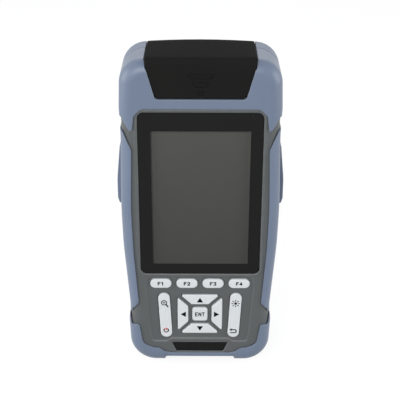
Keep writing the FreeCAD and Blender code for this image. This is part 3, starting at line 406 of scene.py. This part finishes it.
# The unlit display is an even grey that grows a little lighter towards its top; the lighter top is a
# painted reflection.
display_foot = tone(92, 92, 90)
display_top_painted_reflection = tone(105, 105, 102)
display_paint = surface("unlit display", display_foot, display_foot, display_foot, rough=0.5, grain=0.0004,
                        depth=0.0000002, gloss=0.1, wear=0.0)
tree = display_paint.node_tree
height = step(tree, "SeparateXYZ", {0: step(tree, "TexCoord").outputs["Object"]}).outputs["Z"]
rise = step(tree, "MapRange", {"Value": height, "From Min": panel_low.z, "From Max": panel_high.z})
# Painted reflection: the grey rises from the foot's colour to the lighter top colour with height on the
# panel.
painted_reflection = blended(tree, rise.outputs[0], display_foot, display_top_painted_reflection)
tree.links.new(painted_reflection, tree.nodes["Principled BSDF"].inputs["Base Color"])
dress(display_paint, "lcd_panel")
sensor_paint = surface("sensor window", tone(120, 120, 118), tone(110, 110, 108), tone(140, 140, 140),
                       rough=0.3, gloss=0.5)
dress(sensor_paint, "light_sensor")

# ------------------------------------------------------------------ bare inlay at the foot
# A thin black inlay, cut from polished sheet and glued into its seat in the grey shell. It carries no
# name.
inlay_paint = surface("black inlay", tone(15, 15, 16), tone(19, 19, 20), tone(44, 44, 46), rough=0.3,
                      depth=0.000003, gloss=0.12, wear=1.5)
dress(inlay_paint, "nameplate")

# ------------------------------------------------------------------ keys and rockers
# Keycaps and rockers in light grey hard plastic, moulded one by one and seated on a rubber mat, so
# that they stand proud of the keypad's recess. Their legends are printed on.
key_paint = surface("key plastic", tone(221, 225, 227), tone(216, 220, 223), tone(240, 242, 243),
                    rough=0.4, depth=0.000008, reach=0.0005, wear=4.0, gloss=0.45)
for name in nodes:
    if name.startswith("key_") or name.endswith("_rocker"):
        dress(key_paint, name)

ink_paint = surface("black legend ink", tone(14, 15, 16), tone(20, 21, 22), tone(40, 40, 40), rough=0.6,
                    gloss=0.05, reach=0.00002, wear=0.0)
red_ink_paint = surface("red legend ink", tone(214, 46, 50), tone(218, 56, 58), tone(220, 90, 90),
                        rough=0.6, gloss=0.2, reach=0.00002, wear=0.0)
key_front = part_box("key_enter")[0].y
legend_front = key_front - ink


def middle_of(node):
    """The x and z of a key's middle."""
    low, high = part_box(node)
    return (low.x + high.x) / 2, (low.z + high.z) / 2


def band(form, first, second):
    """Faces between two closed loops that have as many points."""
    for index in range(len(first)):
        after = (index + 1) % len(first)
        form.faces.new((first[index], first[after], second[after], second[index]))


def mesh_of(name, built):
    """Turn a built form's faces outwards and keep it as a plain mesh."""
    bmesh.ops.recalc_face_normals(built, faces=built.faces)
    mesh = bpy.data.meshes.new(name)
    built.to_mesh(mesh)
    built.free()
    return mesh


def printed_strokes(name, strokes, width, body, paint):
    """Printed strokes of even width with round ends, each through its own (x, z) points."""
    half_round = range(0, 181, 30)
    print_mesh = bmesh.new()
    for points in strokes:
        for start, end in zip(points, points[1:]):
            lean = math.atan2(end[1] - start[1], end[0] - start[0])
            outline = []
            for (x, z), first in ((end, -90), (start, 90)):
                turns = (lean + math.radians(first + turn) for turn in half_round)
                outline += [(x + width / 2 * math.cos(turn), z + width / 2 * math.sin(turn))
                            for turn in turns]
            foot, face = [[print_mesh.verts.new((x, depth, z)) for x, z in outline]
                          for depth in (key_front, legend_front)]
            band(print_mesh, foot, face)
            print_mesh.faces.new(foot)
            print_mesh.faces.new(face)
    return piece(name, mesh_of(name, print_mesh), paint, body)


# The strokes of each letter and figure run in a box one wide and one high.
signs = {
    "F": [[(0, 0), (0, 1), (1, 1)], [(0, 0.5), (0.8, 0.5)]],
    "1": [[(0.05, 0.75), (0.5, 1), (0.5, 0)]],
    "2": [[(0, 0.82), (0.3, 1), (0.75, 1), (1, 0.8), (0.95, 0.6), (0, 0), (1, 0)]],
    "3": [[(0, 1), (1, 1), (0.5, 0.58), (1, 0.42), (1, 0.15), (0.7, 0), (0.25, 0), (0, 0.12)]],
    "4": [[(0.75, 0), (0.75, 1), (0, 0.3), (1, 0.3)]],
    "E": [[(1, 1), (0, 1), (0, 0), (1, 0)], [(0, 0.5), (0.85, 0.5)]],
    "N": [[(0, 0), (0, 1), (1, 0), (1, 1)]],
    "T": [[(0, 1), (1, 1)], [(0.5, 1), (0.5, 0)]],
}


def printed_word(name, word, node, letter, gap, stroke, body):
    """A word printed on the middle of a key, from a letter's width and height and the gap between."""
    x, z = middle_of(node)
    wide, high = letter
    x -= (len(word) * wide + (len(word) - 1) * gap) / 2
    strokes = []
    for place, sign in enumerate(word):
        left = x + place * (wide + gap) + stroke / 2
        low = z - high / 2 + stroke / 2
        strokes += [[(left + (wide - stroke) * across, low + (high - stroke) * up) for across, up in points]
                    for points in signs[sign]]
    return printed_strokes(name, strokes, stroke, body, ink_paint)


for place in range(1, 5):
    printed_word(f"legend_f{place}", f"F{place}", f"key_f{place}", letter=(1.6 * mm, 2.15 * mm),
                 gap=0.2 * mm, stroke=0.5 * mm, body=f"f{place}_key")
printed_word("legend_enter", "ENT", "key_enter", letter=(1.55 * mm, 2.5 * mm), gap=0.22 * mm,
             stroke=0.46 * mm, body="enter_key")

# Solid triangles on the arrow keys point away from the centre key.
pad_x, pad_z = middle_of("key_enter")
arrow_reach = 8.8 * mm
arrow_size = 1.4 * mm
arrow_splay = 1.2
for side, (right, up) in {"up": (0, 1), "down": (0, -1), "left": (-1, 0), "right": (1, 0)}.items():
    x = pad_x + right * arrow_reach
    z = pad_z + up * arrow_reach
    corners = [(x + right * arrow_size, z + up * arrow_size)]
    corners += [(x - right * arrow_size + up * spread * arrow_size * arrow_splay,
                 z - up * arrow_size - right * spread * arrow_size * arrow_splay) for spread in (1, -1)]
    flat_sheet(f"legend_{side}", [corners], legend_front, ink, ink_paint, f"{side}_key")


def ring_of(x, z, radius, first=0, last=360, count=24):
    """Points on an arc, in degrees clockwise from the top."""
    turns = (math.radians(first + (last - first) * index / count) for index in range(count + 1))
    return [(x + radius * math.sin(turn), z + radius * math.cos(turn)) for turn in turns]


def around(x, z, *points):
    """Points given in millimetres from a sign's middle."""
    return [(x + right * mm, z + up * mm) for right, up in points]


# Left rocker: a magnifier at its top and a red power sign at its foot.
magnifier = (-18.9 * mm, 38.0 * mm)
printed_strokes("legend_magnifier_ring", [ring_of(*magnifier, radius=1.35 * mm)], width=0.5 * mm,
                body="left_rocker_key", paint=ink_paint)
printed_strokes("legend_magnifier_handle", [around(*magnifier, (1.0, -1.05), (2.0, -2.4))],
                width=0.75 * mm, body="left_rocker_key", paint=ink_paint)
printed_strokes("legend_magnifier_plus", [around(*magnifier, (-0.55, 0), (0.55, 0)),
                                          around(*magnifier, (0, -0.55), (0, 0.55))],
                width=0.38 * mm, body="left_rocker_key", paint=ink_paint)
power = (-17.95 * mm, 20.9 * mm)
printed_strokes("legend_power", [ring_of(*power, radius=1.2 * mm, first=35, last=325),
                                 around(*power, (0, 0.2), (0, 1.4))],
                width=0.55 * mm, body="left_rocker_key", paint=red_ink_paint)

# Right rocker: a sun for the backlight at its top and a return arrow at its foot. The sun's disc is a
# very short wide stroke.
sun_x, sun_z = 18.8 * mm, 37.66 * mm
rays = [[(sun_x + reach * math.cos(math.pi / 4 * ray), sun_z + reach * math.sin(math.pi / 4 * ray))
         for reach in (1.4 * mm, 2.0 * mm)] for ray in range(8)]
printed_strokes("legend_sun_disc", [around(sun_x, sun_z, (-0.01, 0), (0.01, 0))], width=1.5 * mm,
                body="right_rocker_key", paint=ink_paint)
printed_strokes("legend_sun_rays", rays, width=0.5 * mm, body="right_rocker_key", paint=ink_paint)
back = (17.7 * mm, 20.6 * mm)
bend = around(*back, (0.75, -0.2))[0]
printed_strokes("legend_return_line", [
    around(*back, (-0.9, 0.75)) + ring_of(*bend, radius=0.95 * mm, first=0, last=180, count=9)
    + around(*back, (-1.4, -1.15))], width=0.6 * mm, body="right_rocker_key", paint=ink_paint)
flat_sheet("legend_return_head", [around(*back, (-1.9, 0.75), (-0.8, -0.15), (-0.8, 1.65))], legend_front,
           ink, ink_paint, "right_rocker_key")

# ------------------------------------------------------------------ flip lid
# One matt black moulding over the fibre ports: a face that narrows downwards, a soft crease, a top that
# is crowned towards the back, and a roll round its steel hinge pin with a knuckle at each end.
lid_low, lid_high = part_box("flip_lid")
pin_low, pin_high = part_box("lid_hinge_pin")
hinge_y = (pin_low.y + pin_high.y) / 2
hinge_z = (pin_low.z + pin_high.z) / 2
solid_bar_lift = 0.3 * mm
lid_face = lid_low.y + solid_bar_lift
lid_wall = 2.6 * mm
lid_top_wall = 3.2 * mm
roll = lid_high.y - hinge_y
crease = 3.0 * mm
top_rise = 0.35 * mm
front_top = lid_high.z - top_rise
lid_half_top = lid_high.x
lid_half_foot = 21.4 * mm
widest_z = lid_high.z - 3.1 * mm
side_bow = 1.05
foot_corner = 1.6 * mm
lid_edge = 0.7 * mm
crown_drop = 0.55 * mm
crown_reach = 22 * mm


def lid_half_width(z):
    """Half the lid's width at a height: bowed sides that open upwards, with round lower corners."""
    share = min(1.0, (z - lid_low.z) / (widest_z - lid_low.z))
    bow = math.sin(share * math.pi / 2) ** side_bow
    half_width = lid_half_foot + (lid_half_top - lid_half_foot) * bow
    above = z - lid_low.z
    if above < foot_corner:
        half_width -= foot_corner - math.sqrt(foot_corner ** 2 - (foot_corner - above) ** 2)
    return half_width


# Stations along the lid's outer profile: (outer y, outer z, inner y, inner z, crown share). They lie
# close together at the rounded lower edge, up the face, round the crease, back over the top and down
# the roll.
face_heights = (0, 0.08, 0.25, 0.5, 0.75, 1.0, 1.3, 1.6, 2.2, 4, 6.5, 9, 11, 13, 14.5, 15.6, 16.4)
crease_steps = 8
top_steps = 8
roll_steps = 9
inner_y = lid_face + lid_wall
inner_z = lid_high.z - lid_top_wall
stations = []
for above in face_heights:
    height = lid_low.z + above * mm
    sunk = lid_edge - math.sqrt(max(0, lid_edge ** 2 - max(0, lid_edge - above * mm) ** 2))
    stations.append((lid_face + sunk, height, inner_y, min(height, inner_z), 0))
for index in range(crease_steps + 1):
    turn = math.pi - math.pi / 2 * index / crease_steps
    height = front_top - crease + crease * math.sin(turn)
    stations.append((lid_face + crease + crease * math.cos(turn), height, inner_y, inner_z, 0))
top_run = hinge_y - lid_face - crease
for index in range(1, top_steps + 1):
    share = index / top_steps
    depth = lid_face + crease + top_run * share
    stations.append((depth, front_top + (lid_high.z - front_top) * share, max(depth, inner_y), inner_z,
                     share))
hollow = roll - lid_top_wall
for index in range(1, roll_steps + 1):
    turn = math.pi / 2 * (1 - index / roll_steps)
    stations.append((hinge_y + roll * math.cos(turn), hinge_z + roll * math.sin(turn),
                     hinge_y + hollow * math.cos(turn), hinge_z + hollow * math.sin(turn), 1))

# Each station is a closed loop: across the outside, with rounded side edges, and back along the inside.
# The lid opens to its full width along the crease and keeps it behind the middle of the case.
shell = bmesh.new()
loops = []
edge_steps = 4
across_shares = (0.85, 0.6, 0.3)
for outer_y, outer_z, wall_y, wall_z, crown in stations:
    outer = Vector((outer_y, outer_z))
    inward = Vector((wall_y, wall_z)) - outer
    wall = inward.length
    inward.normalize()
    half_width = lid_half_width(min(outer_z, widest_z) if outer_y < 0 else widest_z)
    side = []
    for index in range(edge_steps + 1):
        turn = math.pi / 2 * index / edge_steps
        side.append((half_width - lid_edge * (1 - math.cos(turn)), lid_edge * (1 - math.sin(turn))))
    columns = [(half_width, wall)] + side
    columns += [(half_width * share, 0) for share in across_shares]
    columns += [(0, 0)] + [(-x, depth) for x, depth in reversed(columns)]
    loop = []
    for x, depth in columns:
        sunk = depth
        if depth < wall:
            sunk += crown * crown_drop * (x / crown_reach) ** 2
        point = outer + inward * sunk
        loop.append(shell.verts.new((x, point.x, point.y)))
    loops.append(loop)
for first, second in zip(loops, loops[1:]):
    band(shell, first, second)
shell.faces.new(loops[0])
shell.faces.new(reversed(loops[-1]))
knuckle_width = 4.2 * mm
knuckle_radius = 6.4 * mm
for side in (-1, 1):
    middle = Matrix.Translation((side * (lid_half_top - knuckle_width / 2), hinge_y, hinge_z))
    bmesh.ops.create_cone(shell, cap_ends=True, segments=40, radius1=knuckle_radius, radius2=knuckle_radius,
                          depth=knuckle_width, matrix=middle @ Matrix.Rotation(math.pi / 2, 4, "Y"))
bmesh.ops.remove_doubles(shell, verts=shell.verts, dist=0.00001)
bmesh.ops.dissolve_degenerate(shell, dist=0.000005, edges=shell.edges)
lid_mesh = mesh_of("lid_shell", shell)
lid_mesh.shade_smooth()
lid_mesh.set_sharp_from_angle(angle=math.radians(40))
lid_paint = surface("black moulding", tone(31, 31, 31), tone(34, 34, 33), tone(52, 52, 51), rough=0.75,
                    grain=0.00018, depth=0.000015, gloss=0.01, reach=0.0004, wear=1.5, dust=0.018,
                    sheen=0.03)
lid_shell = piece("lid_shell", lid_mesh, lid_paint, "lid")
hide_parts("flip_lid")
pin_paint = surface("ground steel pin", tone(184, 185, 188), tone(172, 173, 176), tone(214, 215, 216),
                    rough=0.18, grain=0.0004, depth=0.000002, metal=1.0)
dress(pin_paint, "lid_hinge_pin")

# Three raised bars with sloped edges narrow downwards in the middle of the lid's face, to show which
# end to lift. Each has its half widths at its top and foot, and the heights of both above the lid's
# lower edge, in millimetres.
# The bars are moulded in the lid's own black. Their darker colour is painted shade, standing in for the
# shadow lines round their edges.
bar_painted_shade = surface("raised bars", tone(23, 23, 23), tone(26, 26, 26), tone(44, 44, 43), rough=0.5,
                    depth=0.000005, gloss=0.05, wear=1.0)
bar_sizes = ((6.3, 4.9, 12.3, 9.8), (4.0, 2.6, 8.3, 5.7), (1.8, 0.5, 4.0, 1.6))
bar_root = 0.1 * mm
bar_lift = 0.4 * mm
bar_slope = 0.3 * mm
for place, (top_half, foot_half, top, foot) in enumerate(bar_sizes, start=1):
    bar = bmesh.new()
    rings = []
    for inset, front in ((0, lid_face + bar_root), (0, lid_face), (bar_slope, lid_face - bar_lift)):
        low = lid_low.z + foot * mm + inset
        high = lid_low.z + top * mm - inset
        rings.append([bar.verts.new((x, front, z)) for x, z in (
            (-foot_half * mm + inset, low), (foot_half * mm - inset, low),
            (top_half * mm - inset, high), (-top_half * mm + inset, high))])
    for first, second in zip(rings, rings[1:]):
        band(bar, first, second)
    bar.faces.new(rings[0])
    bar.faces.new(rings[-1])
    piece(f"lid_bar_{place}", mesh_of(f"lid_bar_{place}", bar), bar_painted_shade, "lid")

# ------------------------------------------------------------------ port deck and cradles
# Black mouldings inside the case: the deck under the lid that holds the fibre ports, the battery
# cradle, and the buzzer's shell. The deck and cradle are held between the case halves.
deck_paint = surface("black deck moulding", tone(34, 34, 35), tone(38, 38, 38), tone(62, 62, 62), rough=0.5,
                     depth=0.00002, gloss=0.3, wear=2.0)
dress(deck_paint, "port_deck", "battery_tray", "buzzer")

# ------------------------------------------------------------------ fibre ports
# Nickel-plated brass ports screwed into the deck, each with a rolled thread for its connector and a
# polished white zirconia sleeve that lines up the ferrules.
nickel_paint = surface("nickel plate", tone(186, 184, 178), tone(172, 170, 164), tone(214, 212, 206),
                       rough=0.25, depth=0.000004, metal=1.0)
dress(nickel_paint, "otdr_port", "opm_port", "vfl_port", "vfl_laser")
ceramic_paint = surface("zirconia", tone(238, 238, 232), tone(234, 234, 228), tone(245, 245, 240),
                        rough=0.15, depth=0.000002)
dress(ceramic_paint, "otdr_sleeve", "opm_sleeve", "vfl_sleeve")


def node_tree_of(name, inputs):
    """Start a geometry node tree with named size inputs, and give back its inputs and output too."""
    tree = bpy.data.node_groups.new(name, "GeometryNodeTree")
    tree.interface.new_socket("Geometry", in_out="INPUT", socket_type="NodeSocketGeometry")
    for socket, value in inputs.items():
        kind = "NodeSocketInt" if isinstance(value, int) else "NodeSocketFloat"
        tree.interface.new_socket(socket, in_out="INPUT", socket_type=kind).default_value = value
    tree.interface.new_socket("Geometry", in_out="OUTPUT", socket_type="NodeSocketGeometry")
    return tree, tree.nodes.new("NodeGroupInput").outputs, tree.nodes.new("NodeGroupOutput").inputs[0]


def grow_step(tree, kind, inputs=None, **settings):
    """Add a node to a tree that grows a mesh, and give back its outputs."""
    return add_node(tree, kind, inputs, **settings).outputs


def grown_mesh(tree, start, values):
    """The plain mesh that a node tree makes from a starting mesh, with the given input values."""
    maker = bpy.data.objects.new("maker", start)
    scene.collection.objects.link(maker)
    modifier = maker.modifiers.new("maker", "NODES")
    modifier.node_group = tree
    for socket in tree.interface.items_tree:
        if socket.in_out == "INPUT" and socket.name in values:
            modifier[socket.identifier] = values[socket.name]
    return settled(maker)


def points_mesh(name, places):
    """A mesh of loose points, for a node tree to put things on."""
    mesh = bpy.data.meshes.new(name)
    mesh.from_pydata(places, [], [])
    return mesh


# A rolled thread, as round ridges of the same pitch up the port's barrel.
thread_tree, given, result = node_tree_of("rolled thread", {"Radius": 0.005, "Ridge": 0.0003})
ring = grow_step(thread_tree, "GeometryNodeCurvePrimitiveCircle", {
    "Radius": given["Radius"], "Resolution": 48})
ridge = grow_step(thread_tree, "GeometryNodeCurvePrimitiveCircle", {
    "Radius": given["Ridge"], "Resolution": 8})
hoop = grow_step(thread_tree, "GeometryNodeCurveToMesh", {"Curve": ring[0], "Profile Curve": ridge[0]})
hoops = grow_step(thread_tree, "GeometryNodeInstanceOnPoints", {
    "Points": given["Geometry"], "Instance": hoop[0]})
real = grow_step(thread_tree, "GeometryNodeRealizeInstances", {"Geometry": hoops[0]})
painted = grow_step(thread_tree, "GeometryNodeSetMaterial", {"Geometry": real[0], "Material": nickel_paint})
thread_tree.links.new(painted[0], result)

pitch = 0.75 * mm
ridge_radius = 0.26 * mm
below_thread = 3.2 * mm
above_thread = 0.9 * mm
for port, barrel in (("otdr", 5 * mm), ("opm", 6 * mm), ("vfl", 4.2 * mm)):
    low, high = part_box(f"{port}_port")
    middle_x = (low.x + high.x) / 2
    middle_y = (low.y + high.y) / 2
    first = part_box(f"{port}_sleeve")[0].z + below_thread
    turns = int((high.z - above_thread - first) / pitch) + 1
    places = points_mesh(f"{port}_turns", [(middle_x, middle_y, first + pitch * turn)
                                           for turn in range(turns)])
    thread = grown_mesh(thread_tree, places, {"Radius": barrel, "Ridge": ridge_radius})
    thread.shade_smooth()
    piece(f"{port}_thread", thread, nickel_paint, "instrument")

# ------------------------------------------------------------------ case and door screws
# Zinc-plated steel pan-head screws with a cross recess, sunk into their counterbores in the back. Four
# long ones clamp the case halves together, and two short ones hold the battery door.
zinc_paint = surface("zinc plate", tone(176, 178, 182), tone(160, 162, 168), tone(210, 212, 214), rough=0.3,
                     depth=0.000004, metal=1.0)
screw_tree, given, result = node_tree_of("cross-head screws", {
    "Head radius": 0.0024, "Head height": 0.002, "Shank radius": 0.00125, "Shank length": 0.02,
    "Slot width": 0.0006})
head = grow_step(screw_tree, "GeometryNodeMeshCylinder", {
    "Vertices": 40, "Radius": given["Head radius"], "Depth": given["Head height"]})


def product(first, second):
    """Two sizes of the screw multiplied."""
    return grow_step(screw_tree, "ShaderNodeMath", {0: first, 1: second}, operation="MULTIPLY")[0]


def upright(height):
    """A move along the screw."""
    return grow_step(screw_tree, "ShaderNodeCombineXYZ", {"Z": height})[0]


slot_length = product(given["Head radius"], 1.3)
slot_depth = product(given["Head height"], 1.1)
slots = []
for across, along in ((slot_length, given["Slot width"]), (given["Slot width"], slot_length)):
    size = grow_step(screw_tree, "ShaderNodeCombineXYZ", {"X": across, "Y": along, "Z": slot_depth})
    slot = grow_step(screw_tree, "GeometryNodeMeshCube", {"Size": size[0]})
    slots.append(grow_step(screw_tree, "GeometryNodeTransform", {
        "Geometry": slot[0], "Translation": upright(product(given["Head height"], 0.5))})[0])
carved = grow_step(screw_tree, "GeometryNodeMeshBoolean", {0: head[0]}, operation="DIFFERENCE",
                  solver="EXACT")
boolean = carved[0].node
for slot in slots:
    screw_tree.links.new(slot, boolean.inputs["Mesh 2"])
seated = grow_step(screw_tree, "GeometryNodeTransform", {
    "Geometry": carved[0], "Translation": upright(product(given["Head height"], 0.5))})
shank = grow_step(screw_tree, "GeometryNodeMeshCylinder", {
    "Vertices": 24, "Radius": given["Shank radius"], "Depth": given["Shank length"]})
hung = grow_step(screw_tree, "GeometryNodeTransform", {
    "Geometry": shank[0], "Translation": upright(product(given["Shank length"], -0.5))})
both = grow_step(screw_tree, "GeometryNodeJoinGeometry")
for part in (seated[0], hung[0]):
    screw_tree.links.new(part, both[0].node.inputs[0])
screws = grow_step(screw_tree, "GeometryNodeInstanceOnPoints", {
    "Points": given["Geometry"], "Instance": both[0], "Rotation": (-math.pi / 2, 0, 0)})
real = grow_step(screw_tree, "GeometryNodeRealizeInstances", {"Geometry": screws[0]})
painted = grow_step(screw_tree, "GeometryNodeSetMaterial", {"Geometry": real[0], "Material": zinc_paint})
screw_tree.links.new(painted[0], result)


def fit_screws(name, node, columns, head_radius, head_height, shank_radius, slot_width):
    """Two rows of screws, seated where the heads of the solid screws are, which they replace."""
    low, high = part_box(node)
    seat = high.y - head_height
    start = points_mesh(name, [(x, seat, z) for x in columns
                               for z in (low.z + head_radius, high.z - head_radius)])
    mesh = grown_mesh(screw_tree, start, {
        "Head radius": head_radius, "Head height": head_height, "Shank radius": shank_radius,
        "Shank length": seat - low.y, "Slot width": slot_width})
    made = piece(name, mesh, zinc_paint, "instrument")
    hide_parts(node)


case_low, case_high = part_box("case_screws")
case_head = 2.4 * mm
fit_screws("case_screw_set", "case_screws", (case_low.x + case_head, case_high.x - case_head),
           head_radius=case_head, head_height=2 * mm, shank_radius=1.25 * mm, slot_width=0.6 * mm)
fit_screws("door_screw_set", "door_screws", (0,), head_radius=1.9 * mm, head_height=0.9 * mm,
           shank_radius=1 * mm, slot_width=0.45 * mm)

# ------------------------------------------------------------------ boards and what they carry
# Green glass-fibre boards screwed into the case, with the tinned steel can, sockets and bracket that
# are soldered or clipped to them. The laser and receiver module is milled from an alloy block.
board_paint = surface("solder mask", tone(20, 96, 52), tone(26, 84, 50), tone(120, 132, 96), rough=0.3,
                      grain=0.0006, depth=0.00002, gloss=0.5)
dress(board_paint, "main_board", "keypad_board", "left_io_board", "right_io_board")
tin_paint = surface("tinned steel", tone(176, 176, 178), tone(158, 158, 161), tone(206, 206, 208),
                    rough=0.35, grain=0.0005, depth=0.000006, metal=1.0)
dress(tin_paint, "lcd_bracket", "board_screws", "shield_can", "power_detector", "charge_socket",
      "data_socket", "card_socket")
alloy_paint = surface("milled alloy", tone(188, 190, 192), tone(176, 178, 181), tone(216, 217, 218),
                      rough=0.32, grain=0.0003, depth=0.000008, metal=1.0)
dress(alloy_paint, "optical_module")

# ------------------------------------------------------------------ battery cells
# Two lithium cells in glossy blue shrink wrap. They lie side by side in the cradle, behind the battery
# door.
cell_paint = surface("cell wrap", tone(50, 96, 160), tone(54, 100, 164), tone(96, 134, 184), rough=0.22,
                     grain=0.0004, depth=0.000006, gloss=0.5)
dress(cell_paint, "battery_cells")
